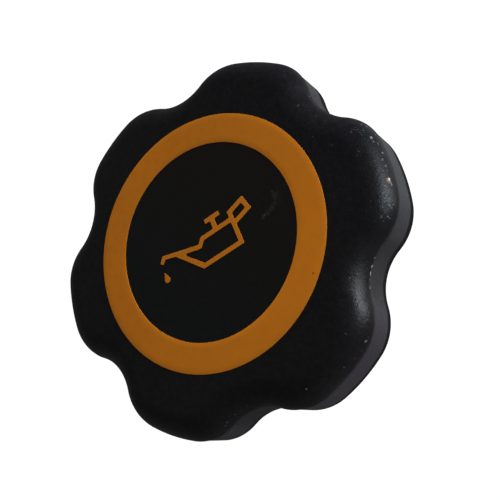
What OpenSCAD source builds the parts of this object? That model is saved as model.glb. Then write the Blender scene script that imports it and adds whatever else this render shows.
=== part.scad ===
// Hand-turned bayonet filler cap: six-lobed hollow grip, plug with two lugs,
// rubber face seal, and a printed band and oil can figure on the flat face.
// Z = 0 is the free end of the plug, +Z runs along the cap's axis to the face,
// and +X passes through the tip of one lobe.

/* [Grip outline] */
// Distance from the axis to the tip of a lobe
lobe_r = 35; // [34:0.5:37]
// Radius of the flat arc across the tip of a lobe
tip_arc_r = 33.5; // [28:0.5:38]
// Half of the angle that the tip arc spans
tip_half_angle = 8; // [5:0.5:9]
// Radius of the arcs at the two corners of a lobe
corner_r = 9.85; // [9:0.05:10.5]
// Radius of the hollow arc between two lobes
valley_r = 9.75; // [9:0.05:10.5]

/* [Grip section] */
// Height of the grip from its rim to its face
grip_h = 11.7; // [11:0.1:14]
// Radius of the rounded shoulder round the face
shoulder_r = 5.05; // [4:0.05:5.5]
// Slope of the shoulder where it ends at the mould line, from vertical
shoulder_end = 14; // [5:1:25]
// How far the skirt steps in under the mould line
mould_step = 0.12; // [0.05:0.01:0.3]
// Draft of the skirt over its height
skirt_draft = 0.06; // [0:0.01:0.3]
// Radius of the rounded rim edge
rim_r = 0.6; // [0.3:0.1:0.8]
// Thickness of the skirt wall
skirt_wall = 2.6; // [2:0.1:3]
// Thickness of the face wall
face_wall = 2.5; // [2:0.1:3]

/* [Grip inside] */
// Height of the ribs and of the socket ring under the face wall
rib_h = 4.5; // [3.5:0.1:5]
// Thickness of one rib
rib_t = 1.6; // [1:0.1:2]
// Outer radius of the ring that holds the plug
socket_r = 25.5; // [25:0.1:26]
// Gap round the plug's flange in its socket
socket_gap = 0.05; // [0.03:0.01:0.1]

/* [Plug] */
// How far the plug stands out below the rim
plug_drop = 14; // [12:0.5:20]
// Radius of the plug's flange
flange_r = 23.2; // [22.8:0.1:23.4]
// Thickness of the plug's flange
flange_t = 2.5; // [2:0.1:3]
// Outer radius of the plug's barrel
barrel_r = 16.5; // [15.5:0.1:16.6]
// Outer radius of the plain lead-in at the plug's free end
lead_r = 16; // [15:0.1:16]
// Height of the straight part of the lead-in
lead_h = 6; // [4:0.5:6]
// Wall thickness of the plug, measured at the lead-in
plug_wall = 2.1; // [1.8:0.1:2.5]
// Chamfer at the plug's free end
lead_chamfer = 0.6; // [0.3:0.1:1]

/* [Lugs] */
// Distance from the axis to the outer face of a lug
lug_r = 19.4; // [18.5:0.1:20]
// Angle that one lug spans
lug_angle = 38; // [31:1:45]
// Height of the lower face of the lugs
lug_z = 7.6; // [7:0.1:8]
// Height of one lug
lug_h = 3.8; // [3:0.1:4.5]
// Slope of the ramp on the upper face of a lug
lug_ramp = 9; // [4:1:12]

/* [Seal] */
// Inner radius of the seal
seal_in_r = 16.65; // [16.6:0.05:17.2]
// Outer radius of the seal
seal_out_r = 22.6; // [21:0.1:22.7]
// Thickness of the seal
seal_t = 3.2; // [2.5:0.1:3.5]
// Chamfer round the two free edges of the seal
seal_edge = 0.5; // [0.2:0.1:0.8]

/* [Printed marks] */
// Outer radius of the coloured band
band_out_r = 23.65; // [22:0.05:25]
// Inner radius of the coloured band
band_in_r = 18.2; // [16:0.05:19]
// Size of the oil can figure, as the length of its drawing unit
figure_unit = 23.75; // [18:0.25:25]
// Turn of the oil can figure about the axis
figure_turn = -51; // [-180:1:180]
// Place of the oil can figure along x
figure_x = 0.05; // [-1:0.05:1]
// Place of the oil can figure along y
figure_y = 0.2; // [-1:0.05:1]
// Thickness of the printed colour
print_t = 0.08; // [0.05:0.01:0.15]

/* [Hidden] */

// levels
z_rim = plug_drop;
z_face = plug_drop + grip_h;
z_roof = z_face - face_wall;
z_rib = z_roof - rib_h;
z_flange = z_roof - flange_t;
z_seal = z_flange - seal_t;

// centres of the outline's arcs, in the sector from 0 to 30 degrees
tip_c = [lobe_r - tip_arc_r, 0];
corner_c = tip_c + (tip_arc_r - corner_r) * [cos(tip_half_angle), sin(tip_half_angle)];
turn_a = 30 + asin((corner_c[0] * sin(30) - corner_c[1] * cos(30)) / (corner_r + valley_r));
valley_c = corner_c + (corner_r + valley_r) * [cos(turn_a), sin(turn_a)];

// one lobe's half outline, moved inwards by d
function half_lobe(d) = concat(
    [for (i = [0:1]) tip_c + (tip_arc_r - d) * [cos(i * tip_half_angle / 2), sin(i * tip_half_angle / 2)]],
    [for (i = [0:6]) let (a = tip_half_angle + (turn_a - tip_half_angle) * i / 7)
        corner_c + (corner_r - d) * [cos(a), sin(a)]],
    [for (i = [0:3]) let (a = turn_a + (30 - turn_a) * i / 4)
        valley_c - (valley_r + d) * [cos(a), sin(a)]]);
function valley_mid(d) = (norm(valley_c) - valley_r - d) * [cos(30), sin(30)];
function turned(p, a) = [p[0] * cos(a) - p[1] * sin(a), p[0] * sin(a) + p[1] * cos(a)];
function lobe(d) = let (h = half_lobe(d), n = len(h))
    concat([for (i = [n - 1:-1:1]) [h[i][0], -h[i][1]]], h, [valley_mid(d)]);
// the whole outline, moved inwards by d, counter-clockwise
function outline(d) = [for (k = [0:5], p = lobe(d)) turned(p, 60 * k)];

// the grip's outer section as [inset, height] pairs from the face to the rim
z_line = z_face - shoulder_r * (1 - sin(shoulder_end));
skirt_in = mould_step + skirt_draft;
section = concat(
    [for (i = [0:8]) let (e = 90 - (90 - shoulder_end) * i / 8)
        [shoulder_r * (cos(shoulder_end) - cos(e)), z_face - shoulder_r * (1 - sin(e))]],
    [[mould_step, z_line - mould_step]],
    [for (i = [0:3]) let (t = 30 * i)
        [skirt_in + rim_r * (1 - cos(t)), z_rim + rim_r * (1 - sin(t))]]);

module grip_skin() {
    n = len(outline(0));
    m = len(section);
    points = concat(
        [for (s = section, p = outline(s[0])) [p[0], p[1], s[1]]],
        [[0, 0, z_face], [0, 0, z_rim]]);
    faces = concat(
        [for (j = [0:m - 2], i = [0:n - 1], h = [0, 1]) let (k = (i + 1) % n)
            h == 0 ? [j * n + i, j * n + k, (j + 1) * n + i]
                   : [j * n + k, (j + 1) * n + k, (j + 1) * n + i]],
        [for (i = [0:n - 1]) [(i + 1) % n, i, m * n]],
        [for (i = [0:n - 1]) [(m - 1) * n + i, (m - 1) * n + (i + 1) % n, m * n + 1]]);
    polyhedron(points, faces);
}

module grip() {
    color([0.07, 0.07, 0.075]) union() {
        difference() {
            grip_skin();
            translate([0, 0, z_rim - 1]) linear_extrude(z_roof - z_rim + 1) polygon(outline(skirt_wall));
        }
        // ring that the plug's flange sits in
        translate([0, 0, z_rib]) difference() {
            cylinder(r = socket_r, h = rib_h + 0.5, $fn = 96);
            translate([0, 0, -1]) cylinder(r = flange_r + socket_gap, h = rib_h + 1, $fn = 96);
        }
        // ribs from the ring to the skirt, one at each lobe and one at each valley
        intersection() {
            translate([0, 0, z_rib]) linear_extrude(rib_h + 0.5) polygon(outline(skirt_wall - 0.6));
            for (k = [0:11]) rotate([0, 0, 30 * k])
                translate([socket_r - 1, -rib_t / 2, z_rib]) cube([12, rib_t, rib_h + 0.5]);
        }
    }
}

module lug() {
    c = cos(lug_angle / 2);
    s = sin(lug_angle / 2);
    intersection() {
        rotate_extrude($fn = 96)
            polygon([[barrel_r - 1, lug_z], [lug_r - 0.8, lug_z], [lug_r, lug_z + 0.8],
                     [lug_r, lug_z + lug_h - 0.3], [lug_r - 0.3, lug_z + lug_h], [barrel_r - 1, lug_z + lug_h]]);
        // wedge between the lug's two ends
        translate([0, 0, lug_z - 1]) linear_extrude(lug_h + 2)
            polygon([[10 * c, -10 * s], [30 * c, -30 * s], [30 * c, 30 * s], [10 * c, 10 * s]]);
        // ramp on the upper face, which pulls the seal on to the neck
        translate([0, 1, lug_z + lug_h]) rotate([lug_ramp, 0, 0]) translate([10, -20, -20]) cube([20, 40, 20]);
    }
}

module bayonet_plug() {
    color([0.1, 0.1, 0.105]) union() {
        rotate_extrude($fn = 96)
            polygon([[0, z_roof], [flange_r - 0.3, z_roof], [flange_r, z_roof - 0.3], [flange_r, z_flange],
                     [barrel_r, z_flange], [barrel_r, lead_chamfer + lead_h + 0.6], [lead_r, lead_chamfer + lead_h],
                     [lead_r, lead_chamfer], [lead_r - lead_chamfer, 0], [lead_r - plug_wall, 0],
                     [lead_r - plug_wall, z_flange], [0, z_flange]]);
        for (a = [0, 180]) rotate([0, 0, a]) lug();
    }
}

module seal_ring() {
    color([0.03, 0.03, 0.03]) rotate_extrude($fn = 96)
        polygon([[seal_in_r, z_flange], [seal_out_r, z_flange], [seal_out_r, z_seal + seal_edge],
                 [seal_out_r - seal_edge, z_seal], [seal_in_r + seal_edge, z_seal], [seal_in_r, z_seal + seal_edge]]);
}

module colour_band() {
    color([0.6, 0.32, 0.05]) translate([0, 0, z_face]) difference() {
        cylinder(r = band_out_r, h = print_t, $fn = 120);
        translate([0, 0, -1]) cylinder(r = band_in_r, h = print_t + 2, $fn = 120);
    }
}

// the figure of an oil can, drawn in units of the band's outer radius
can_outer = [[-0.438, 0.040], [-0.412, 0.014], [-0.376, 0.044], [-0.285, 0.015], [-0.094, -0.204],
    [0.292, -0.204], [0.292, -0.036], [0.451, 0.010], [0.415, 0.145], [0.248, 0.097], [0.248, 0.045],
    [0.140, 0.045], [0.140, 0.106], [0.192, 0.106], [0.192, 0.152], [0.048, 0.152], [0.048, 0.106],
    [0.093, 0.106], [0.093, 0.045], [-0.028, 0.045], [-0.066, 0.002], [-0.084, 0.005], [-0.392, 0.092]];
can_window = [[-0.068, -0.158], [0.247, -0.158], [0.247, -0.001], [-0.010, -0.001], [-0.050, -0.046],
    [-0.086, -0.042], [-0.205, -0.009]];
handle_window = [[0.291, 0.062], [0.382, 0.089], [0.396, 0.041], [0.291, 0.010]];
drop_c = [-0.419, -0.108];
drop_r = 0.029;
drop_tip = [-0.424, -0.034];

module oil_can_mark() {
    color([0.6, 0.32, 0.05]) translate([figure_x, figure_y, z_face]) rotate([0, 0, figure_turn]) linear_extrude(print_t) {
        difference() {
            polygon(figure_unit * can_outer);
            polygon(figure_unit * can_window);
            polygon(figure_unit * handle_window);
        }
        union() {
            translate(figure_unit * drop_c) circle(r = figure_unit * drop_r, $fn = 48);
            polygon(figure_unit * [drop_c - [0.026, -0.006], drop_c + [0.026, 0.006], drop_tip]);
        }
    }
}

grip();
bayonet_plug();
seal_ring();
colour_band();
oil_can_mark();
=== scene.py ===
import math

import bmesh
import bpy
import numpy as np
from mathutils import Matrix, Vector
from mathutils.kdtree import KDTree


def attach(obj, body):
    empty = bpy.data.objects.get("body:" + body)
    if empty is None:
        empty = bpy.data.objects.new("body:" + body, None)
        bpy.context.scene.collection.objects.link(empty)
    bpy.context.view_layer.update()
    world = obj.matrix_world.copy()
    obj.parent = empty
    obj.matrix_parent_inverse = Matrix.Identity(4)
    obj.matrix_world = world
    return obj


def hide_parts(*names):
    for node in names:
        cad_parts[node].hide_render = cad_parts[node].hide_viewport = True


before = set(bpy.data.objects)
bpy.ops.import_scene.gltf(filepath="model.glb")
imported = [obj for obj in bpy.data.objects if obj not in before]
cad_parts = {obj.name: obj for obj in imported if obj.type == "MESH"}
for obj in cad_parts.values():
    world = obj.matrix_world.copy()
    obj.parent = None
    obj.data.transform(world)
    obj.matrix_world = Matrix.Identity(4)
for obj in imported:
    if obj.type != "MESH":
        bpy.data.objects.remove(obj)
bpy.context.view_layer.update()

MM = 0.001

# ---------------------------------------------------------------- dimensions, in mm, in the row frame
Z_RIM, Z_ROOF, Z_FACE = 14.0, 23.2, 25.7
Z_RIB, Z_FLANGE, Z_SEAL = 18.7, 20.7, 17.5
LOBE_R, TIP_R, TIP_A, CORNER_R, VALLEY_R = 35.0, 33.5, 8.0, 9.85, 9.75
SHOULDER_R, SHOULDER_END = 5.05, 14.0
STEP, DRAFT, RIM_R = 0.12, 0.06, 0.6
WALL, SOCKET_R, SOCKET_IN = 2.6, 25.5, 23.25
Z_LINE = Z_FACE - SHOULDER_R * (1 - math.sin(math.radians(SHOULDER_END)))
BAND_OUT, BAND_IN, UNIT, TURN_FIGURE, PRINT_T = 23.65, 18.2, 23.75, -51.0, 0.08
FIGURE_X, FIGURE_Y = 0.05, 0.20


def sn(t):
    return math.sin(math.radians(t))


def cs(t):
    return math.cos(math.radians(t))


def unit(t):
    return np.array([cs(t), sn(t)])


TIP_C = np.array([LOBE_R - TIP_R, 0.0])
CORNER_C = TIP_C + (TIP_R - CORNER_R) * unit(TIP_A)
TURN_A = 30 + math.degrees(math.asin((CORNER_C[0] * sn(30) - CORNER_C[1] * cs(30)) / (CORNER_R + VALLEY_R)))
VALLEY_C = CORNER_C + (CORNER_R + VALLEY_R) * unit(TURN_A)


def outline(n_tip=9, n_corner=24, n_valley=13):
    """Points and outward normals round the grip, six lobes one after the other, from the valley at -30 degrees."""
    p, n = [], []
    for i in range(n_tip):
        t = TIP_A * i / n_tip
        p.append(TIP_C + TIP_R * unit(t)), n.append(unit(t))
    for i in range(n_corner):
        t = TIP_A + (TURN_A - TIP_A) * i / n_corner
        p.append(CORNER_C + CORNER_R * unit(t)), n.append(unit(t))
    for i in range(n_valley + 1):
        t = TURN_A + (30 - TURN_A) * i / n_valley
        p.append(VALLEY_C - VALLEY_R * unit(t)), n.append(unit(t))
    p, n, flip = np.array(p), np.array(n), np.array([1, -1])
    p = np.concatenate([(p[1:] * flip)[::-1], p[:-1]])
    n = np.concatenate([(n[1:] * flip)[::-1], n[:-1]])
    ps, ns = [], []
    for k in range(6):
        turn = np.array([[cs(60 * k), -sn(60 * k)], [sn(60 * k), cs(60 * k)]])
        ps.append(p @ turn.T), ns.append(n @ turn.T)
    return np.concatenate(ps), np.concatenate(ns)


def ripple(s, seed, octaves=4):
    """Smooth repeatable wobble from -1 to 1 along s, which runs from 0 to 1 round the part and closes on itself."""
    out = np.zeros_like(s)
    rng = np.random.RandomState(seed)
    total = 0.0
    for k in range(octaves):
        a = 0.75**k
        out += a * np.sin(2 * math.pi * (rng.randint(3, 8) * 2**k + k) * s + rng.uniform(0, 6.28))
        total += a
    return out / total


# ---------------------------------------------------------------- mesh helpers
def mesh_object(name, verts, faces, smooth_angle=32):
    mesh = bpy.data.meshes.new(name)
    mesh.from_pydata([tuple(v) for v in verts], [], faces)
    mesh.validate()
    bm = bmesh.new()
    bm.from_mesh(mesh)
    bmesh.ops.recalc_face_normals(bm, faces=bm.faces)
    bm.to_mesh(mesh)
    bm.free()
    obj = bpy.data.objects.new(name, mesh)
    bpy.context.scene.collection.objects.link(obj)
    finish_shading(obj, smooth_angle)
    return obj


def finish_shading(obj, angle):
    obj.data.polygons.foreach_set("use_smooth", [True] * len(obj.data.polygons))
    obj.data.set_sharp_from_angle(angle=math.radians(angle))
    obj.data.update()


def loft(name, rings, capped=True, closed_section=False, smooth_angle=32):
    """Quads between rings of the same number of points in mm; the ends close on a middle point, or the last ring joins the first."""
    n, m = len(rings[0]), len(rings)
    verts = [v for r in rings for v in np.asarray(r) * MM]
    faces = []
    for j in range(m if closed_section else m - 1):
        a, b = j * n, ((j + 1) % m) * n
        for i in range(n):
            k = (i + 1) % n
            faces.append((a + i, a + k, b + k, b + i))
    if capped and not closed_section:
        for ring, flip in ((0, True), (m - 1, False)):
            c = len(verts)
            verts.append(np.mean(np.asarray(rings[ring]), axis=0) * MM)
            for i in range(n):
                k = (i + 1) % n
                f = (ring * n + i, ring * n + k, c)
                faces.append(f[::-1] if flip else f)
    return mesh_object(name, verts, faces, smooth_angle)


def circle(r, z, n=240):
    t = np.arange(n) * 2 * math.pi / n
    return np.c_[r * np.cos(t), r * np.sin(t), np.full(n, z)]


def rounded(points, radii, steps=4):
    """A polygon's points with each corner rounded by its own radius."""
    out = []
    pts = [np.array(p, float) for p in points]
    for i, p in enumerate(pts):
        r = radii[i] if hasattr(radii, "__len__") else radii
        a, b = pts[i - 1] - p, pts[(i + 1) % len(pts)] - p
        la, lb = np.linalg.norm(a), np.linalg.norm(b)
        a, b = a / la, b / lb
        half = math.acos(max(-1, min(1, float(a @ b)))) / 2
        if r <= 0 or half > 1.55:
            out.append(p)
            continue
        back = min(r / math.tan(half), 0.45 * la, 0.45 * lb)
        r = back * math.tan(half)
        mid = (a + b) / np.linalg.norm(a + b)
        c = p + mid * (r / math.sin(half))
        s, e = p + a * back - c, p + b * back - c
        total = math.atan2(s[0] * e[1] - s[1] * e[0], float(s @ e))
        for k in range(steps + 1):
            t = total * k / steps
            out.append(c + np.array([s[0] * math.cos(t) - s[1] * math.sin(t), s[0] * math.sin(t) + s[1] * math.cos(t)]))
    return out


def union(base, *others):
    for o in others:
        mod = base.modifiers.new("join", "BOOLEAN")
        mod.operation, mod.solver, mod.object = "UNION", "EXACT", o
    dg = bpy.context.evaluated_depsgraph_get()
    made = bpy.data.meshes.new_from_object(base.evaluated_get(dg))
    base.modifiers.clear()
    # points closer than a micrometre, and faces with many corners, would leave slivers
    bm = bmesh.new()
    bm.from_mesh(made)
    bmesh.ops.remove_doubles(bm, verts=bm.verts, dist=1e-6)
    bmesh.ops.dissolve_degenerate(bm, edges=bm.edges, dist=1e-6)
    bmesh.ops.triangulate(bm, faces=[f for f in bm.faces if len(f.verts) > 4])
    bm.to_mesh(made)
    bm.free()
    old = base.data
    base.data = made
    bpy.data.meshes.remove(old)
    for o in others:
        mesh = o.data
        bpy.data.objects.remove(o)
        bpy.data.meshes.remove(mesh)
    return base


# ---------------------------------------------------------------- grip
def build_grip():
    p0, n0 = outline()
    s = np.arange(len(p0)) / len(p0)

    def ring(inset, z):
        inset = np.broadcast_to(np.asarray(inset, float), (len(p0),))
        z = np.broadcast_to(np.asarray(z, float), (len(p0),))
        return np.c_[p0 - inset[:, None] * n0, z]

    flat_in = SHOULDER_R * cs(SHOULDER_END)
    edge = ring(flat_in, Z_FACE)
    rings = []
    # the flat face, from the middle outwards
    for k in (0.03, 0.08, 0.16, 0.25, 0.34, 0.43, 0.52, 0.6, 0.68, 0.75, 0.81, 0.86, 0.9, 0.935, 0.962, 0.985):
        r = edge * np.array([k, k, 1.0])
        rings.append(r)
    # shoulder
    for i in range(41):
        e = 90 - (90 - SHOULDER_END) * i / 40
        rings.append(ring(SHOULDER_R * (cs(SHOULDER_END) - cs(e)), Z_FACE - SHOULDER_R * (1 - sn(e))))
    # mould line: a small edge, rubbed down here and there, and the step under it
    rub = np.clip(0.45 + 0.75 * ripple(s, 5, 5), 0, 1)
    rings.append(ring(0.004 + 0.035 * rub, Z_LINE - 0.03 + 0.0 * rub))
    rings.append(ring(0.03 + 0.05 * rub, Z_LINE - 0.06))
    rings.append(ring(0.09 + 0.02 * rub, Z_LINE - 0.1))
    rings.append(ring(STEP - 0.002, Z_LINE - 0.15))
    # skirt, then its rounded rim
    for k in np.linspace(0.04, 1, 14):
        rings.append(ring(STEP + DRAFT * k, Z_LINE - 0.15 + (Z_RIM + RIM_R - Z_LINE + 0.15) * k))
    for i in range(1, 9):
        t = 90 * i / 8
        rings.append(ring(STEP + DRAFT + RIM_R * (1 - cs(t)), Z_RIM + RIM_R * (1 - sn(t))))
    # rim's flat, its inner edge, and the wall of the hollow with its draft
    rings.append(ring(1.3, Z_RIM))
    for i in range(0, 7):
        t = 90 * i / 6
        rings.append(ring(WALL - 0.4 * (1 - sn(t)), Z_RIM + 0.4 * (1 - cs(t))))
    for k in np.linspace(0.08, 1, 9):
        rings.append(ring(WALL + 0.12 * k, Z_RIM + 0.4 + (Z_ROOF - 0.9 - Z_RIM - 0.4) * k))
    for i in range(1, 9):
        t = 90 * i / 8
        rings.append(ring(WALL + 0.12 + 0.9 * (1 - cs(t)), Z_ROOF - 0.9 + 0.9 * sn(t)))
    inner = ring(WALL + 1.1, Z_ROOF)
    for k in (0.96, 0.88, 0.78, 0.66, 0.53, 0.4, 0.27, 0.15, 0.06):
        rings.append(inner * np.array([k, k, 1.0]))
    grip = loft("grip_moulding", rings)

    # ring that holds the plug, and the ribs from it to the skirt
    prof = [(SOCKET_IN, Z_ROOF + 0.6), (SOCKET_IN, Z_RIB), (SOCKET_R - 0.1, Z_RIB), (SOCKET_R, Z_ROOF + 0.6)]
    prof = rounded(prof, [0, 0.35, 0.35, 0])
    socket = loft("socket", [circle(r, z, 192) for r, z in prof], closed_section=True)
    ribs = []
    for k in range(12):
        end = 33.3 if k % 2 == 0 else 28.9
        cut = rounded([(-0.8, Z_ROOF + 0.5), (-0.66, Z_RIB), (0.66, Z_RIB), (0.8, Z_ROOF + 0.5)], [0, 0.25, 0.25, 0])
        turn = np.array([[cs(30 * k), -sn(30 * k)], [sn(30 * k), cs(30 * k)]])
        both = []
        for x in (24.6, end):
            q = np.array([[x, t, z] for t, z in cut])
            q[:, :2] = q[:, :2] @ turn.T
            both.append(q)
        ribs.append(loft("rib%d" % k, both))
    socket = union(socket, *ribs)
    grip = union(grip, socket)
    mark_inner_wall(grip)
    finish_shading(grip, 30)
    return grip


def mark_inner_wall(obj):
    """Stores at each vertex whether it lies inside the grip's shell, for the material."""
    p0, n0 = outline()
    tree = KDTree(len(p0))
    for i, p in enumerate(p0):
        tree.insert((p[0], p[1], 0), i)
    tree.balance()
    co = np.empty(len(obj.data.vertices) * 3, np.float32)
    obj.data.vertices.foreach_get("co", co)
    co = co.reshape(-1, 3) / MM
    value = np.zeros(len(co), np.float32)
    for k, c in enumerate(co):
        if c[2] < Z_ROOF + 0.05:
            _, i, _ = tree.find((c[0], c[1], 0))
            value[k] = 1.0 if (p0[i] - c[:2]) @ n0[i] > 1.0 else 0.0
    obj.data.attributes.new("inner_wall", "FLOAT", "POINT").data.foreach_set("value", value)


# ---------------------------------------------------------------- printed marks
CAN_OUTER = [(-0.438, 0.040), (-0.412, 0.014), (-0.376, 0.044), (-0.285, 0.015), (-0.094, -0.204), (0.292, -0.204),
             (0.292, -0.036), (0.451, 0.010), (0.415, 0.145), (0.248, 0.097), (0.248, 0.045), (0.140, 0.045),
             (0.140, 0.106), (0.192, 0.106), (0.192, 0.152), (0.048, 0.152), (0.048, 0.106), (0.093, 0.106),
             (0.093, 0.045), (-0.028, 0.045), (-0.066, 0.002), (-0.084, 0.005), (-0.392, 0.092)]
CAN_WINDOW = [(-0.068, -0.158), (0.247, -0.158), (0.247, -0.001), (-0.010, -0.001), (-0.050, -0.046),
              (-0.086, -0.042), (-0.205, -0.009)]
HANDLE_WINDOW = [(0.291, 0.062), (0.382, 0.089), (0.396, 0.041), (0.291, 0.010)]
DROP_C, DROP_R, DROP_TIP = (-0.419, -0.108), 0.029, (-0.424, -0.034)


def drop_outline():
    """The drop: a round belly that runs into a point."""
    c, tip = np.array(DROP_C), np.array(DROP_TIP)
    d = tip - c
    reach = np.linalg.norm(d)
    up = math.degrees(math.atan2(d[1], d[0]))
    open_a = math.degrees(math.acos(DROP_R / reach))
    pts = [tip]
    for i in range(41):
        pts.append(c + DROP_R * unit(up + open_a + (360 - 2 * open_a) * i / 40))
    return pts


def build_figure():
    turn = np.array([[cs(TURN_FIGURE), -sn(TURN_FIGURE)], [sn(TURN_FIGURE), cs(TURN_FIGURE)]])
    bevel = 0.022
    trim = 0.10
    curve = bpy.data.curves.new("figure_outline", "CURVE")
    curve.dimensions, curve.fill_mode = "2D", "BOTH"
    curve.extrude, curve.bevel_depth, curve.bevel_resolution = (PRINT_T / 2 - bevel) * MM, bevel * MM, 2
    curve.offset = -(bevel + trim) * MM
    shapes = [
        rounded(CAN_OUTER, 0.009, 5),
        rounded(CAN_WINDOW, 0.006, 5),
        rounded(HANDLE_WINDOW, 0.006, 5),
        drop_outline(),
    ]
    for pts in shapes:
        spline = curve.splines.new("POLY")
        pts = [turn @ (np.array(p) * UNIT) for p in pts]
        spline.points.add(len(pts) - 1)
        for q, p in zip(spline.points, pts):
            q.co = (p[0] * MM, p[1] * MM, 0, 1)
        spline.use_cyclic_u = True
    tmp = bpy.data.objects.new("figure_outline", curve)
    bpy.context.scene.collection.objects.link(tmp)
    dg = bpy.context.evaluated_depsgraph_get()
    mesh = bpy.data.meshes.new_from_object(tmp.evaluated_get(dg))
    bpy.data.objects.remove(tmp)
    mesh.transform(Matrix.Translation((FIGURE_X * MM, FIGURE_Y * MM, (Z_FACE + PRINT_T / 2) * MM)))
    bm = bmesh.new()
    bm.from_mesh(mesh)
    bmesh.ops.remove_doubles(bm, verts=bm.verts, dist=2e-7)
    bmesh.ops.dissolve_degenerate(bm, edges=bm.edges, dist=1e-8)
    bmesh.ops.recalc_face_normals(bm, faces=bm.faces)
    bm.to_mesh(mesh)
    bm.free()
    obj = bpy.data.objects.new("oil_can_print", mesh)
    bpy.context.scene.collection.objects.link(obj)
    finish_shading(obj, 12)
    return obj


def build_band():
    n = 360
    s = np.arange(n) / n
    t = s * 2 * math.pi
    low, high = Z_FACE - 0.01, Z_FACE + PRINT_T
    out, inn = BAND_OUT + 0.012 * ripple(s, 2, 6) - 0.012, BAND_IN + 0.012 * ripple(s, 9, 6) + 0.012

    def ring(r, z):
        return np.c_[r * np.cos(t), r * np.sin(t), np.full(n, z)]

    rings = [ring(inn, low)]
    for i in range(5):
        a = 90 * i / 4
        rings.append(ring(inn + 0.03 * (1 - cs(a)), high - 0.03 + 0.03 * sn(a)))
    for k in (0.2, 0.4, 0.6, 0.8):
        rings.append(ring(inn + (out - inn) * k, high))
    for i in range(5):
        a = 90 - 90 * i / 4
        rings.append(ring(out - 0.03 * (1 - cs(a)), high - 0.03 + 0.03 * sn(a)))
    rings.append(ring(out, low))
    return loft("colour_ring", rings, closed_section=True, smooth_angle=60)


# ---------------------------------------------------------------- plug and seal
def build_plug():
    lead, barrel, inside = 16.0, 16.5, 13.9
    pts = [(0.0, Z_ROOF), (23.2, Z_ROOF), (23.2, Z_FLANGE), (barrel, Z_FLANGE), (barrel, 7.2), (lead, 6.6), (lead, 0.0),
           (inside, 0.0), (inside + 0.0, Z_FLANGE), (0.0, Z_FLANGE)]
    rad = [0, 0.35, 0.15, 0.0, 0.25, 0.25, 0.6, 0.4, 0.9, 0]
    prof = rounded(pts, rad, 6)[1:-1]
    prof = [(4.0, Z_ROOF), (12.0, Z_ROOF), (20.0, Z_ROOF)] + [tuple(q) for q in prof] + [(9.0, Z_FLANGE), (4.0, Z_FLANGE), (1.75, Z_FLANGE), (1.6, Z_FLANGE - 0.3), (0.8, Z_FLANGE - 0.3)]
    plug = loft("plug_moulding", [circle(r, z, 192) for r, z in prof])
    lugs = []
    for a in (0, 180):
        rings = []
        for i in range(29):
            t = -19 + 38 * i / 28
            shrink = {0: 0.22, 1: 0.06, 27: 0.06, 28: 0.22}.get(i, 0.0)
            top = min(11.4, 11.4 + (18.0 * sn(t) - 1.0) * math.tan(math.radians(9)))
            cut = [(15.2, 7.6 + shrink), (18.6 - shrink, 7.6 + shrink), (19.4 - shrink, 8.4 + shrink),
                   (19.4 - shrink, top - shrink), (15.2, top - shrink)]
            cut = rounded(cut, [0, 0.25, 0.25, 0.35, 0], 3)
            rings.append(np.array([[r * cs(t + a), r * sn(t + a), z] for r, z in cut]))
        lugs.append(loft("lug%d" % a, rings))
    plug = union(plug, *lugs)
    finish_shading(plug, 30)
    return plug


def build_seal():
    groove = Z_SEAL + 0.45
    pts = [(16.65, Z_FLANGE), (22.6, Z_FLANGE), (22.6, Z_SEAL), (20.35, Z_SEAL), (20.05, groove), (19.2, groove), (18.9, Z_SEAL), (16.65, Z_SEAL)]
    prof = rounded(pts, [0.12, 0.12, 0.6, 0.2, 0.2, 0.2, 0.2, 0.6], 7)
    return loft("rubber_ring", [circle(r, z, 192) for r, z in prof], closed_section=True, smooth_angle=60)


grip = build_grip()
band = build_band()
figure = build_figure()
plug = build_plug()
seal = build_seal()


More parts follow.
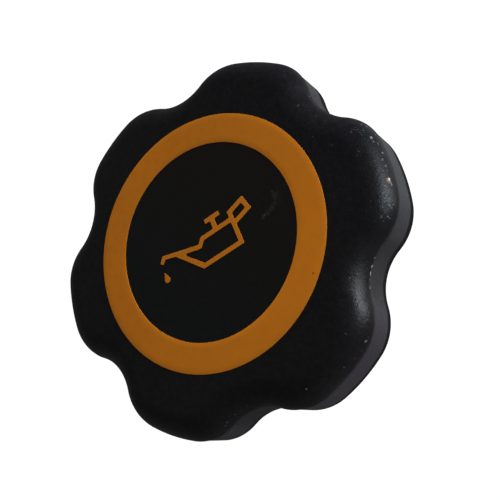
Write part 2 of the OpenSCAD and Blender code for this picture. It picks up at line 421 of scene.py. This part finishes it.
# ---------------------------------------------------------------- materials
class Nodes:
    """A short way to write a material's node tree."""

    def __init__(self, name):
        self.mat = bpy.data.materials.new(name)
        self.mat.use_nodes = True
        self.tree = self.mat.node_tree
        self.tree.nodes.clear()
        self.out = self.tree.nodes.new("ShaderNodeOutputMaterial")
        self.bsdf = self.tree.nodes.new("ShaderNodeBsdfPrincipled")
        self.tree.links.new(self.bsdf.outputs[0], self.out.inputs[0])
        co = self.tree.nodes.new("ShaderNodeTexCoord")
        self.p = self.vmath("SCALE", co.outputs["Object"], scale=1000.0)   # millimetres in the row frame
        xyz = self.new("ShaderNodeSeparateXYZ", {0: self.p})
        self.x, self.y, self.z = xyz.outputs

    def new(self, kind, inputs=None, **props):
        node = self.tree.nodes.new(kind)
        for k, v in props.items():
            setattr(node, k, v)
        for k, v in (inputs or {}).items():
            self.put(node.inputs[k], v)
        return node

    def put(self, socket, v):
        if isinstance(v, bpy.types.NodeSocket):
            self.tree.links.new(v, socket)
        else:
            socket.default_value = v

    def math(self, op, a, b=0.0, c=0.0, clamp=False):
        return self.new("ShaderNodeMath", {0: a, 1: b, 2: c}, operation=op, use_clamp=clamp).outputs[0]

    def vmath(self, op, a, b=(0, 0, 0), scale=None):
        node = self.new("ShaderNodeVectorMath", {0: a, 1: b}, operation=op)
        if scale is not None:
            node.inputs["Scale"].default_value = scale
        return node.outputs["Value"] if op in ("DISTANCE", "LENGTH", "DOT_PRODUCT") else node.outputs["Vector"]

    def noise(self, scale, detail=3.0, rough=0.5, vector=None, offset=None, distortion=0.0):
        v = vector or self.p
        if offset:
            v = self.vmath("ADD", v, offset)
        node = self.new("ShaderNodeTexNoise", {"Vector": v, "Scale": scale, "Detail": detail, "Roughness": rough, "Distortion": distortion})
        return node.outputs["Fac"]

    def ramp(self, v, lo, hi, out_lo=0.0, out_hi=1.0, smooth=True):
        return self.new("ShaderNodeMapRange", {"Value": v, "From Min": lo, "From Max": hi, "To Min": out_lo, "To Max": out_hi},
                        interpolation_type="SMOOTHSTEP" if smooth else "LINEAR", clamp=not smooth).outputs["Result"]

    def mix(self, fac, a, b):
        return self.new("ShaderNodeMix", {0: fac, 6: a, 7: b}, data_type="RGBA").outputs[2]

    def mixf(self, fac, a, b):
        return self.new("ShaderNodeMix", {0: fac, 2: a, 3: b}, data_type="FLOAT").outputs[0]

    def maximum(self, values):
        out = values[0]
        for v in values[1:]:
            out = self.math("MAXIMUM", out, v)
        return out

    def bump(self, height, distance, normal=None, strength=1.0):
        ins = {"Height": height, "Distance": distance, "Strength": strength}
        if normal is not None:
            ins["Normal"] = normal
        return self.new("ShaderNodeBump", ins).outputs[0]


def rgb(r, g, b):
    return (r, g, b, 1.0)


# the brightest nicks on the mould line, in the same form
DASHES = [
    (1.93, -30.63, 21.86, -0.98, 0.20, -0.09, 0.26, 0.22, 0.32), (0.51, -30.45, 21.87, -1.00, 0.05, 0.02, 0.33, 0.24, 0.90),
    (-0.76, -30.47, 21.87, -1.00, -0.08, 0.01, 0.50, 0.24, 0.75),
]

# small nicks and flecks in the grip's surface, in mm: place, direction, half length, half width, how pale
FLECKS = [
    # along the mould line, between two lobes
    (-1.66, -30.63, 21.86, -0.96, -0.24, 0.10, 0.36, 0.18, 0.65), (-2.88, -31.00, 21.88, -0.95, -0.22, 0.14, 0.36, 0.22, 0.65),
    # one worn lobe
    (21.27, -26.58, 23.76, 0.01, -0.72, -0.70, 0.31, 0.23, 1.00), (20.61, -27.09, 23.79, -0.76, -0.64, -0.05, 0.22, 0.17, 0.55),
    (19.02, -28.80, 23.09, -0.85, -0.53, 0.05, 0.18, 0.21, 0.80), (17.84, -29.22, 23.55, -0.55, -0.71, -0.45, 0.16, 0.20, 0.80),
    (16.84, -29.94, 23.38, 0.29, -0.46, -0.84, 0.24, 0.21, 1.00), (15.89, -30.43, 23.41, -0.91, -0.40, 0.10, 0.54, 0.11, 0.25),
    (20.51, -27.71, 23.15, -0.78, -0.62, -0.04, 0.36, 0.13, 0.45), (22.16, -26.62, 22.70, -0.73, -0.68, 0.10, 0.40, 0.15, 0.30),
    (23.41, -24.89, 22.85, -0.46, -0.88, -0.13, 0.27, 0.18, 0.40), (23.54, -24.08, 23.35, -0.18, -0.90, -0.39, 0.18, 0.22, 0.55),
    (21.61, -23.41, 25.18, -0.53, -0.85, 0.03, 0.20, 0.13, 0.25), (21.45, -25.17, 24.62, -0.53, -0.84, -0.11, 0.23, 0.12, 0.25),
    (18.29, -25.67, 25.49, 0.15, -0.96, -0.25, 0.15, 0.13, 0.30), (17.63, -25.58, 25.61, 0.12, -0.98, -0.17, 0.15, 0.12, 0.22),
    (17.62, -26.18, 25.48, 0.15, -0.95, -0.26, 0.15, 0.11, 0.20), (22.12, -23.63, 24.86, 0.18, -0.90, -0.39, 0.15, 0.14, 0.20),
    (22.34, -25.00, 24.07, 0.27, -0.69, -0.67, 0.14, 0.16, 0.25), (13.73, -31.57, 23.24, -0.58, -0.60, -0.54, 0.19, 0.18, 0.65),
    (13.37, -30.92, 24.19, -0.28, -0.75, -0.59, 0.24, 0.21, 0.40), (12.17, -31.05, 24.49, 0.25, -0.72, -0.65, 0.27, 0.14, 0.38),
    (12.57, -31.42, 24.02, -0.93, -0.37, -0.03, 0.25, 0.13, 0.35), (11.36, -32.00, 23.74, -0.84, 0.22, 0.50, 0.31, 0.11, 0.55),
    (10.44, -32.16, 23.71, 0.26, -0.57, -0.78, 0.20, 0.17, 0.95), (10.12, -32.43, 23.35, -0.35, -0.52, -0.78, 0.25, 0.13, 0.55),
    (10.68, -32.50, 23.15, -0.66, -0.43, -0.61, 0.25, 0.10, 0.35), (10.87, -31.87, 24.00, -0.07, -0.67, -0.74, 0.20, 0.10, 0.35),
    (11.46, -31.50, 24.26, -0.99, -0.09, 0.13, 0.19, 0.10, 0.35), (9.88, -31.37, 24.56, -0.73, -0.54, -0.42, 0.19, 0.12, 0.35),
    (9.28, -31.13, 24.74, -0.98, -0.16, -0.14, 0.16, 0.10, 0.30), (9.32, -31.75, 24.22, -0.92, -0.27, -0.30, 0.17, 0.10, 0.30),
    (8.27, -31.45, 24.40, -0.99, 0.16, -0.00, 0.27, 0.13, 0.75), (8.56, -32.17, 23.66, -0.36, -0.53, -0.77, 0.21, 0.15, 0.75),
    (8.39, -32.43, 23.24, -0.32, -0.46, -0.83, 0.22, 0.12, 0.50), (7.69, -31.75, 24.00, -0.98, 0.05, -0.19, 0.19, 0.10, 0.30),
    (8.66, -29.34, 25.55, 0.16, -0.96, -0.23, 0.18, 0.11, 0.30), (10.36, -29.69, 25.45, -0.35, -0.90, -0.28, 0.18, 0.13, 0.22),
    (28.44, -12.57, 22.54, -0.64, -0.71, -0.31, 0.20, 0.18, 0.30),
    # the other lobes and the face
    (-3.95, -31.23, 17.74, -0.92, -0.40, 0.04, 0.34, 0.18, 0.30), (-2.23, -28.58, 24.91, 0.22, -0.82, -0.54, 0.21, 0.16, 0.28),
    (2.95, -27.75, 25.39, 0.19, -0.93, -0.32, 0.21, 0.08, 0.22), (-4.05, -28.92, 25.00, -0.94, 0.19, 0.29, 0.25, 0.09, 0.20),
    (-11.01, -29.97, 25.31, -0.30, -0.87, -0.38, 0.17, 0.14, 0.50), (-11.47, -32.52, 22.88, 0.18, -0.47, -0.86, 0.23, 0.18, 1.00),
    (-10.78, -32.75, 22.64, 0.18, -0.41, -0.90, 0.19, 0.10, 0.30), (-13.10, -32.06, 22.85, 0.18, -0.51, -0.84, 0.17, 0.13, 0.25),
    (-14.40, -31.39, 23.06, 0.19, -0.56, -0.80, 0.16, 0.12, 0.35), (-16.19, -30.17, 23.55, -0.12, -0.58, -0.81, 0.23, 0.08, 0.50),
    (-20.89, -25.14, 24.93, 0.23, -0.93, -0.29, 0.16, 0.16, 0.70), (-17.09, -30.38, 19.59, -0.87, 0.49, 0.02, 0.20, 0.18, 0.15),
    (-26.12, -14.35, 23.57, 0.23, -0.88, -0.42, 0.15, 0.15, 0.45), (-27.18, -13.25, 23.32, 0.21, -0.78, -0.59, 0.13, 0.13, 0.30),
    (-28.12, -12.32, 23.32, 0.19, -0.72, -0.67, 0.14, 0.13, 0.35), (-29.74, -11.17, 23.32, -0.64, -0.16, -0.75, 0.34, 0.10, 0.45),
    (-30.36, -10.84, 23.21, -0.84, 0.54, -0.08, 0.21, 0.12, 0.40), (-32.04, -9.20, 23.29, -0.16, -0.57, -0.80, 0.22, 0.12, 0.50),
    (-32.18, -9.41, 22.85, -0.31, -0.31, -0.90, 0.22, 0.13, 0.40), (25.83, -12.19, 25.00, 0.19, -0.88, -0.43, 0.21, 0.20, 0.20),
    (20.24, -16.80, 25.70, -0.74, -0.67, 0.00, 0.22, 0.12, 0.20), (18.97, -20.73, 25.70, 0.06, -1.00, 0.00, 0.22, 0.18, 0.10),
    (10.31, -23.18, 25.70, 0.10, -1.00, 0.00, 0.18, 0.14, 0.12),
    # sides that the light does not rake
    (33.64, 4.10, 23.30, 0.20, 0.90, 0.30, 0.22, 0.12, 0.45), (31.20, 12.60, 22.90, 0.10, 0.40, -0.90, 0.18, 0.14, 0.35),
    (19.70, 27.60, 23.40, 0.80, -0.50, 0.20, 0.28, 0.12, 0.55), (14.10, 31.20, 22.80, 0.90, 0.10, 0.10, 0.18, 0.15, 0.40),
    (-14.90, 30.80, 23.10, 0.85, 0.45, 0.10, 0.24, 0.12, 0.50), (-20.40, 27.10, 22.90, 0.60, 0.60, 0.30, 0.16, 0.14, 0.40),
    (-32.90, 7.40, 22.90, 0.10, 0.95, 0.20, 0.26, 0.12, 0.45),
]


def grip_material():
    m = Nodes("grip_surface")
    broad = m.noise(0.045, 3, 0.55)
    blotch = m.noise(0.22, 4, 0.55, offset=(31, 7, 3))
    grain = m.noise(5.5, 4, 0.6)
    pebble = m.noise(1.9, 3, 0.6, offset=(14, 2, 8))
    tooth = m.noise(2.2, 3, 0.55, offset=(5, 19, 2))
    streak = m.noise(0.9, 3, 0.6, vector=m.vmath("MULTIPLY", m.p, (1.0, 1.0, 0.12)))
    inner = m.new("ShaderNodeAttribute", attribute_name="inner_wall").outputs["Fac"]
    radius = m.vmath("LENGTH", m.vmath("MULTIPLY", m.p, (1.0, 1.0, 0.0)))

    # two finishes: the polished crown, and the eroded skirt, which fades in below the mould line and stops above the rim
    edge_z = m.math("ADD", m.z, m.ramp(blotch, 0.3, 0.7, -0.25, 0.25))
    skirt = m.ramp(edge_z, 22.65, 20.3)
    # dark band along the rim: painted shade on the skirt's lower edge
    rim_shade_z = m.math("ADD", m.z, m.math("MULTIPLY", m.x, -0.022))
    rim_shade = m.ramp(m.math("ADD", rim_shade_z, m.ramp(blotch, 0.3, 0.7, -0.12, 0.12)), 16.30, 15.45)
    eroded = m.math("MULTIPLY", m.math("MULTIPLY", skirt, m.math("SUBTRACT", 1.0, rim_shade)), m.math("SUBTRACT", 1.0, inner))

    top = m.mix(m.ramp(broad, 0.3, 0.7), rgb(0.0046, 0.0045, 0.0046), rgb(0.0070, 0.0069, 0.0069))
    top = m.mix(m.ramp(blotch, 0.35, 0.75, 0.0, 0.55), top, rgb(0.0049, 0.0051, 0.0050))
    mottle = m.noise(0.16, 3, 0.6, offset=(9, 50, 4))
    cool = m.ramp(m.math("ADD", m.math("MULTIPLY", m.x, 0.77), m.math("MULTIPLY", m.y, -0.64)), 6.0, 26.0)
    top = m.mix(m.math("MULTIPLY", cool, m.ramp(mottle, 0.3, 0.7, 0.25, 1.0)), top, rgb(0.0054, 0.0052, 0.0077))
    plum = m.ramp(m.math("ADD", m.math("MULTIPLY", m.x, -0.64), m.math("MULTIPLY", m.y, -0.77)), 15.0, 32.0)
    top = m.mix(m.math("MULTIPLY", plum, m.ramp(mottle, 0.3, 0.7, 1.0, 0.25)), top, rgb(0.0072, 0.0055, 0.0071))
    fine = m.noise(1.1, 5, 0.65, offset=(3, 8, 60))
    top = m.mix(m.ramp(fine, 0.42, 0.75, 0.0, 0.5), top, rgb(0.0105, 0.0105, 0.0110))
    top = m.mix(m.ramp(fine, 0.55, 0.28, 0.0, 0.5), top, rgb(0.0024, 0.0024, 0.0024))
    warm = m.math("MULTIPLY", m.ramp(m.math("ADD", m.x, m.math("MULTIPLY", m.y, -0.4)), -14.0, 16.0), m.ramp(radius, 23.0, 17.0))
    top = m.mix(m.math("MULTIPLY", m.ramp(radius, 23.0, 17.0), 0.6), top, rgb(0.0043, 0.0062, 0.0046))
    top = m.mix(m.math("MULTIPLY", warm, 0.8), top, rgb(0.0072, 0.0053, 0.0046))
    side = m.mix(m.ramp(m.x, -16.0, 20.0), rgb(0.0311, 0.0268, 0.0327), rgb(0.0273, 0.0281, 0.0321))
    side = m.mix(m.ramp(streak, 0.3, 0.72, 0.12, 0.0), side, rgb(0.010, 0.010, 0.011))
    # painted shade: the skirt darker in the valleys between the lobes, where the neighbouring lobes hide it from the
    # light
    side = m.mix(m.ramp(radius, 33.4, 31.0, 0.0, 0.38), side, rgb(0.004, 0.004, 0.004))
    colour = m.mix(eroded, top, side)
    # the painted rim shade, kept off the inner wall, darkens the colour there
    rim_shade = m.math("MULTIPLY", rim_shade, m.math("SUBTRACT", 1.0, inner))
    colour = m.mix(rim_shade, colour, rgb(0.003, 0.003, 0.0033))

    # the mould line rubbed pale in the hollows between the lobes, where a hand does not polish it
    line = m.ramp(m.math("ABSOLUTE", m.math("SUBTRACT", m.z, Z_LINE - 0.04)), 0.20, 0.05)
    rub = m.ramp(m.noise(0.9, 3, 0.65, offset=(0, 0, 40)), 0.40, 0.66)
    line = m.math("MULTIPLY", m.math("MULTIPLY", line, rub), m.ramp(radius, 33.0, 30.8))
    # scuffed patch on one lobe's shoulder
    warp = m.vmath("SCALE", m.vmath("SUBTRACT", m.new("ShaderNodeTexNoise", {"Vector": m.p, "Scale": 0.8, "Detail": 3.0}).outputs["Color"], (0.5, 0.5, 0.5)), scale=2.0)
    near = m.vmath("ADD", m.p, warp)
    patch_d = m.vmath("LENGTH", m.vmath("MULTIPLY", m.vmath("SUBTRACT", near, (11.3, -31.8, 23.9)), (0.34, 0.70, 0.70)))
    patch = m.ramp(patch_d, 1.15, 0.30)
    scratch = m.ramp(m.noise(2.6, 4, 0.7, offset=(11, 3, 9), distortion=1.2), 0.53, 0.64)
    scuff = m.math("MULTIPLY", patch, scratch)
    # painted sheen: a faint blue-grey lightening on one lobe's shoulder, spreading the light's highlight there
    sheen_d = m.vmath("LENGTH", m.vmath("MULTIPLY", m.vmath("SUBTRACT", m.p, (18.5, -27.5, 23.3)), (0.10, 0.10, 0.48)))
    painted_sheen = m.math("MULTIPLY", m.ramp(sheen_d, 1.0, 0.2), m.ramp(blotch, 0.3, 0.7, 0.5, 1.0))

    wob = m.vmath("SCALE", m.vmath("SUBTRACT", m.new("ShaderNodeTexNoise", {"Vector": m.p, "Scale": 4.0, "Detail": 3.0, "Roughness": 0.6}).outputs["Color"], (0.5, 0.5, 0.5)), scale=0.62)
    near = m.vmath("ADD", m.p, wob)

    def spot(x, y, z, dx, dy, dz, half, side_half, outer, core, level=1.0):
        """A mark with its half sizes along a direction and across it; outer and core are the ends of its soft edge."""
        d = m.vmath("SUBTRACT", near, (x, y, z))
        along = m.vmath("DOT_PRODUCT", d, tuple(Vector((dx, dy, dz)).normalized()))
        square = m.math("MULTIPLY", m.math("MULTIPLY", along, along), half**-2 - side_half**-2)
        square = m.math("MULTIPLY_ADD", m.vmath("DOT_PRODUCT", d, d), side_half**-2, square)
        return m.ramp(square, outer**2, core**2, 0.0, level)

    fleck = m.math("ADD", 0.0, 0.0)
    for *where, pale in FLECKS:
        fleck = m.math("MAXIMUM", fleck, spot(*where, 1.05, 0.15, pale))
    # sparse fine dust over the whole part
    cell = m.new("ShaderNodeTexVoronoi", {"Vector": near, "Scale": 0.30, "Randomness": 1.0})
    dust = m.ramp(cell.outputs["Distance"], 0.050, 0.012)
    pick = m.ramp(m.new("ShaderNodeSeparateColor", {0: cell.outputs["Color"]}).outputs[0], 0.80, 0.82)
    dust = m.math("MULTIPLY", m.math("MULTIPLY", dust, pick), 0.10)

    # the painted sheen goes on first, then the scuffs, mould line, flecks and dust
    colour = m.mix(m.math("MULTIPLY", painted_sheen, 0.08), colour, rgb(0.10, 0.115, 0.135))
    colour = m.mix(m.math("MULTIPLY", patch, 0.07), colour, rgb(0.12, 0.13, 0.18))
    colour = m.mix(m.math("MULTIPLY", scuff, 0.28), colour, rgb(0.17, 0.18, 0.25))
    colour = m.mix(m.math("MULTIPLY", line, 0.22), colour, rgb(0.17, 0.17, 0.19))
    colour = m.mix(m.maximum([fleck, dust]), colour, rgb(0.18, 0.18, 0.19))
    dash = m.maximum([spot(*where, 1.1, 0.55, pale) for *where, pale in DASHES])
    colour = m.mix(dash, colour, rgb(0.38, 0.38, 0.40))
    # one chip: pale in the middle, brown along its upper side, running out into a thin scratch
    colour = m.mix(spot(14.42, -30.98, 23.62, -0.86, -0.49, -0.14, 0.50, 0.28, 1.2, 0.75, 0.85), colour, rgb(0.20, 0.085, 0.055))
    colour = m.mix(spot(14.02, -31.47, 23.20, -0.80, -0.50, -0.30, 0.42, 0.16, 1.2, 0.5, 0.7), colour, rgb(0.17, 0.17, 0.18))
    colour = m.mix(spot(14.66, -31.06, 23.42, -0.86, -0.49, -0.14, 0.36, 0.19, 1.2, 0.5), colour, rgb(0.44, 0.36, 0.29))
    # a curved rub and two nicks on the flat face, inside the ring
    smear = m.math("ADD", 0.0, 0.0)
    for x, y, dx, dy, half, side_half, pale in (
        (10.15, -11.30, 1.0, 0.2, 0.16, 0.13, 0.50), (9.55, -11.95, 0.5, -0.8, 0.62, 0.55, 0.115), (9.0, -12.20, 1.0, -0.1, 0.62, 0.34, 0.095),
        (8.15, -12.25, 1.0, 0.3, 0.55, 0.30, 0.10), (7.40, -12.00, 0.7, 0.7, 0.55, 0.27, 0.13), (6.90, -11.75, 0.7, 0.7, 0.50, 0.27, 0.10),
        (6.30, -11.35, 0.6, 0.8, 0.52, 0.34, 0.11), (5.95, -10.85, 0.7, 0.7, 0.20, 0.15, 0.38), (5.55, -10.65, 0.9, 0.4, 0.50, 0.30, 0.15),
        (9.10, -12.60, 1.0, 0.1, 1.80, 0.80, 0.03), (11.45, -13.60, 0.2, 1.0, 0.12, 0.12, 0.22),
    ):
        smear = m.math("MAXIMUM", smear, spot(x, y, Z_FACE, dx, dy, 0.0, half, side_half, 1.35, 0.1, pale))
    colour = m.mix(m.math("MULTIPLY", smear, 0.55), colour, rgb(0.20, 0.18, 0.165))
    m.put(m.bsdf.inputs["Base Color"], colour)

    rough = m.ramp(blotch, 0.3, 0.7, 0.34, 0.42)
    rough = m.mixf(m.math("MULTIPLY", m.math("MAXIMUM", scuff, smear), 0.5), rough, 0.60)
    rough = m.mixf(eroded, rough, m.ramp(tooth, 0.3, 0.7, 0.60, 0.72))
    # the painted rim shade is also made fully rough
    rough = m.mixf(rim_shade, rough, 1.0)
    m.put(m.bsdf.inputs["Roughness"], rough)
    m.bsdf.inputs["Specular IOR Level"].default_value = 0.25

    normal = m.bump(blotch, 0.00010, strength=0.35)
    normal = m.bump(m.mixf(eroded, pebble, tooth), 0.00009, normal, 0.6)
    normal = m.bump(grain, 0.00001, normal, 0.5)
    normal = m.bump(m.math("MULTIPLY", m.math("MAXIMUM", fleck, scuff), -1.0), 0.00006, normal, 0.6)
    m.put(m.bsdf.inputs["Normal"], normal)
    return m.mat


def ink_material():
    m = Nodes("ink_surface")
    broad = m.noise(0.07, 3, 0.5)
    mottle = m.noise(0.6, 5, 0.6, offset=(2, 40, 1))
    grain = m.noise(6.0, 3, 0.6)
    colour = m.mix(m.ramp(broad, 0.3, 0.7), rgb(0.486, 0.151, 0.0086), rgb(0.538, 0.164, 0.0082))
    colour = m.mix(m.ramp(mottle, 0.40, 0.75, 0.0, 0.55), colour, rgb(0.428, 0.139, 0.0100))
    colour = m.mix(m.ramp(grain, 0.60, 0.78, 0.0, 0.25), colour, rgb(0.316, 0.095, 0.0080))
    # painted light: the ink brighter towards one side of the band, as the light falls off across it
    lit_side = m.ramp(m.math("ADD", m.math("MULTIPLY", m.x, -0.47), m.math("MULTIPLY", m.y, -0.88)), -26.0, 26.0, 0.0, 0.18)
    colour = m.mix(lit_side, colour, rgb(0.920, 0.282, 0.0102))
    cell = m.new("ShaderNodeTexVoronoi", {"Vector": m.p, "Scale": 0.23, "Randomness": 1.0})
    speck = m.ramp(cell.outputs["Distance"], 0.06, 0.02)
    pick = m.ramp(m.new("ShaderNodeSeparateColor", {0: cell.outputs["Color"]}).outputs[1], 0.72, 0.74)
    colour = m.mix(m.math("MULTIPLY", m.math("MULTIPLY", speck, pick), 0.75), colour, rgb(0.05, 0.020, 0.006))
    m.put(m.bsdf.inputs["Base Color"], colour)
    m.put(m.bsdf.inputs["Roughness"], m.ramp(mottle, 0.3, 0.7, 0.50, 0.62))
    m.bsdf.inputs["Specular IOR Level"].default_value = 0.2
    normal = m.bump(grain, 0.00002, strength=0.5)
    m.put(m.bsdf.inputs["Normal"], normal)
    return m.mat


def plug_material():
    m = Nodes("plug_surface")
    broad = m.noise(0.08, 3, 0.5)
    grain = m.noise(3.5, 4, 0.6)
    streak = m.noise(0.7, 3, 0.6, vector=m.vmath("MULTIPLY", m.p, (1.0, 1.0, 0.1)))
    colour = m.mix(m.ramp(broad, 0.3, 0.7), rgb(0.014, 0.014, 0.015), rgb(0.022, 0.022, 0.023))
    # a thin brown film of old oil towards the free end
    film = m.math("MULTIPLY", m.ramp(m.z, 9.0, 1.0), m.ramp(streak, 0.4, 0.7))
    colour = m.mix(m.math("MULTIPLY", film, 0.55), colour, rgb(0.030, 0.016, 0.006))
    m.put(m.bsdf.inputs["Base Color"], colour)
    rough = m.mixf(film, m.ramp(grain, 0.3, 0.7, 0.48, 0.60), 0.25)
    m.put(m.bsdf.inputs["Roughness"], rough)
    m.bsdf.inputs["Specular IOR Level"].default_value = 0.4
    m.put(m.bsdf.inputs["Normal"], m.bump(grain, 0.00003, strength=0.5))
    return m.mat


def rubber_material():
    m = Nodes("rubber_surface")
    broad = m.noise(0.12, 3, 0.5)
    grain = m.noise(4.5, 4, 0.65)
    colour = m.mix(m.ramp(broad, 0.3, 0.7), rgb(0.009, 0.009, 0.009), rgb(0.016, 0.016, 0.015))
    colour = m.mix(m.ramp(grain, 0.6, 0.8, 0.0, 0.5), colour, rgb(0.035, 0.034, 0.032))
    m.put(m.bsdf.inputs["Base Color"], colour)
    m.put(m.bsdf.inputs["Roughness"], m.ramp(grain, 0.3, 0.7, 0.68, 0.85))
    m.bsdf.inputs["Specular IOR Level"].default_value = 0.35
    m.put(m.bsdf.inputs["Normal"], m.bump(grain, 0.00004, strength=0.6))
    return m.mat


ink = ink_material()
for obj, node, mat, slot in (
    (grip, "grip", grip_material(), "grip_plastic"),
    (band, "colour_band", ink, "mark_ink"),
    (figure, "oil_can_mark", ink, "mark_ink"),
    (plug, "bayonet_plug", plug_material(), "plug_plastic"),
    (seal, "seal_ring", rubber_material(), "seal_rubber"),
):
    obj.data.materials.clear()
    obj.data.materials.append(mat)
    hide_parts(node)
    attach(obj, "root")
    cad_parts[node].data.materials.clear()
    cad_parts[node].data.materials.append(mat)


# ---------------------------------------------------------------- floor, light, camera
def build_floor():
    mesh = bpy.data.meshes.new("floor")
    h = 1.5
    mesh.from_pydata([(-h, -h, -2e-5), (h, -h, -2e-5), (h, h, -2e-5), (-h, h, -2e-5)], [], [(0, 1, 2, 3)])
    floor = bpy.data.objects.new("floor", mesh)
    bpy.context.scene.collection.objects.link(floor)
    m = Nodes("floor_pale")
    m.bsdf.inputs["Base Color"].default_value = rgb(0.25, 0.25, 0.25)
    m.bsdf.inputs["Roughness"].default_value = 0.9
    m.bsdf.inputs["Specular IOR Level"].default_value = 0.1
    m.bsdf.inputs["Emission Color"].default_value = rgb(1, 1, 1)
    m.bsdf.inputs["Emission Strength"].default_value = 0.96
    mesh.materials.append(m.mat)
    floor.visible_glossy = False
    return floor


build_floor()


def towards(az, el, distance, centre=(0, 0, 0.02)):
    d = Vector((cs(el) * cs(az), cs(el) * sn(az), sn(el)))
    return Vector(centre) + d * distance, d


def area(name, az, el, distance, size_x, size_y, watts, colour=(1, 1, 1), centre=(0, 0, 0.02), gloss=True):
    data = bpy.data.lights.new(name, "AREA")
    data.shape, data.size, data.size_y = "ELLIPSE", size_x, size_y
    data.energy, data.color = watts, colour
    obj = bpy.data.objects.new(name, data)
    place, d = towards(az, el, distance, centre)
    obj.location = place
    obj.rotation_mode = "QUATERNION"
    obj.rotation_quaternion = d.to_track_quat("Z", "Y")
    obj.visible_glossy = gloss
    bpy.context.scene.collection.objects.link(obj)
    return obj


area("key", -60, 11, 0.42, 0.24, 0.27, 0.77, (0.93, 0.975, 1.0))
area("key_core", -54, 21, 0.42, 0.06, 0.08, 0.45, (0.84, 0.94, 1.0))
area("key_soft", -57, 14, 0.50, 0.30, 0.30, 0.46, (0.98, 0.97, 1.0), gloss=False)
area("side", -2, 8, 0.80, 0.20, 0.30, 9.0, (0.99, 0.97, 1.0), gloss=False)
area("back", 110, 18, 0.90, 0.50, 0.40, 1.6, gloss=False)

# world: plain pale for the camera; as light, a dim room with a soft glow from above and from the right
world = bpy.data.worlds.new("studio")
bpy.context.scene.world = world
world.use_nodes = True
wt = world.node_tree
wt.nodes.clear()


def world_node(kind, inputs=None, **props):
    node = wt.nodes.new(kind)
    for k, v in props.items():
        setattr(node, k, v)
    for k, v in (inputs or {}).items():
        if isinstance(v, bpy.types.NodeSocket):
            wt.links.new(v, node.inputs[k])
        else:
            node.inputs[k].default_value = v
    return node


w_dir = world_node("ShaderNodeTexCoord").outputs["Generated"]
level = None
for az, el, inside, outside, strength in (
    (0, 90, 10, 75, 0.05),
    (-32, -54, 5, 44, 0.55),
    (-130, -5, 5, 60, 0.08),
):
    d = (cs(el) * cs(az), cs(el) * sn(az), sn(el))
    dot = world_node("ShaderNodeVectorMath", {0: w_dir, 1: d}, operation="DOT_PRODUCT").outputs["Value"]
    glow = world_node("ShaderNodeMapRange", {"Value": dot, "From Min": cs(outside), "From Max": cs(inside), "To Min": 0.0, "To Max": strength},
                      interpolation_type="SMOOTHSTEP").outputs["Result"]
    level = world_node("ShaderNodeMath", {0: glow, 1: level if level is not None else 0.088}, operation="ADD").outputs[0]
w_light = world_node("ShaderNodeBackground", {1: level})
w_light.inputs[0].default_value = (1, 1, 1, 1)
w_pale = world_node("ShaderNodeBackground")
w_pale.inputs[0].default_value, w_pale.inputs[1].default_value = (1, 1, 1, 1), 1.0
w_mix = world_node("ShaderNodeMixShader", {0: world_node("ShaderNodeLightPath").outputs["Is Camera Ray"],
                                           1: w_light.outputs[0], 2: w_pale.outputs[0]})
world_node("ShaderNodeOutputWorld", {0: w_mix.outputs[0]})

view_set = bpy.context.scene.view_settings
view_set.view_transform, view_set.look, view_set.exposure, view_set.gamma = "Standard", "None", 0.0, 1.0

# the photograph's view: tilt and turn of the face, its middle on the picture, and the distance in band radii
TILT, BETA, SPIN = 0.5796, 3.5138, 0.1795
CX, CY, SCALE, DIST = 205.989, 240.354, 133.684, 5.8623
focal = SCALE * DIST
n = Vector((math.sin(TILT) * math.cos(BETA), math.sin(TILT) * math.sin(BETA), -math.cos(TILT)))
a = Vector((-math.sin(BETA), math.cos(BETA), 0))
b = n.cross(a)
e1 = a * math.cos(SPIN) + b * math.sin(SPIN)
e2 = n.cross(e1)
o = Vector(((CX - 250) / focal * DIST, (CY - 250) / focal * DIST, DIST))
cam_data = bpy.data.cameras.new("camera")
cam_data.sensor_width, cam_data.lens = 36.0, focal / 500 * 36.0
cam_data.clip_start, cam_data.clip_end = 0.005, 20
camera = bpy.data.objects.new("camera", cam_data)
right, down, ahead = (Vector((e1[i], e2[i], n[i])) for i in range(3))
place = Vector((-e1.dot(o), -e2.dot(o), -n.dot(o))) * UNIT * MM + Vector((0, 0, Z_FACE * MM))
rot = Matrix((right, -down, -ahead)).transposed().to_4x4()
camera.matrix_world = Matrix.Translation(place) @ rot
bpy.context.scene.collection.objects.link(camera)
bpy.context.scene.camera = camera

bpy.context.view_layer.update()
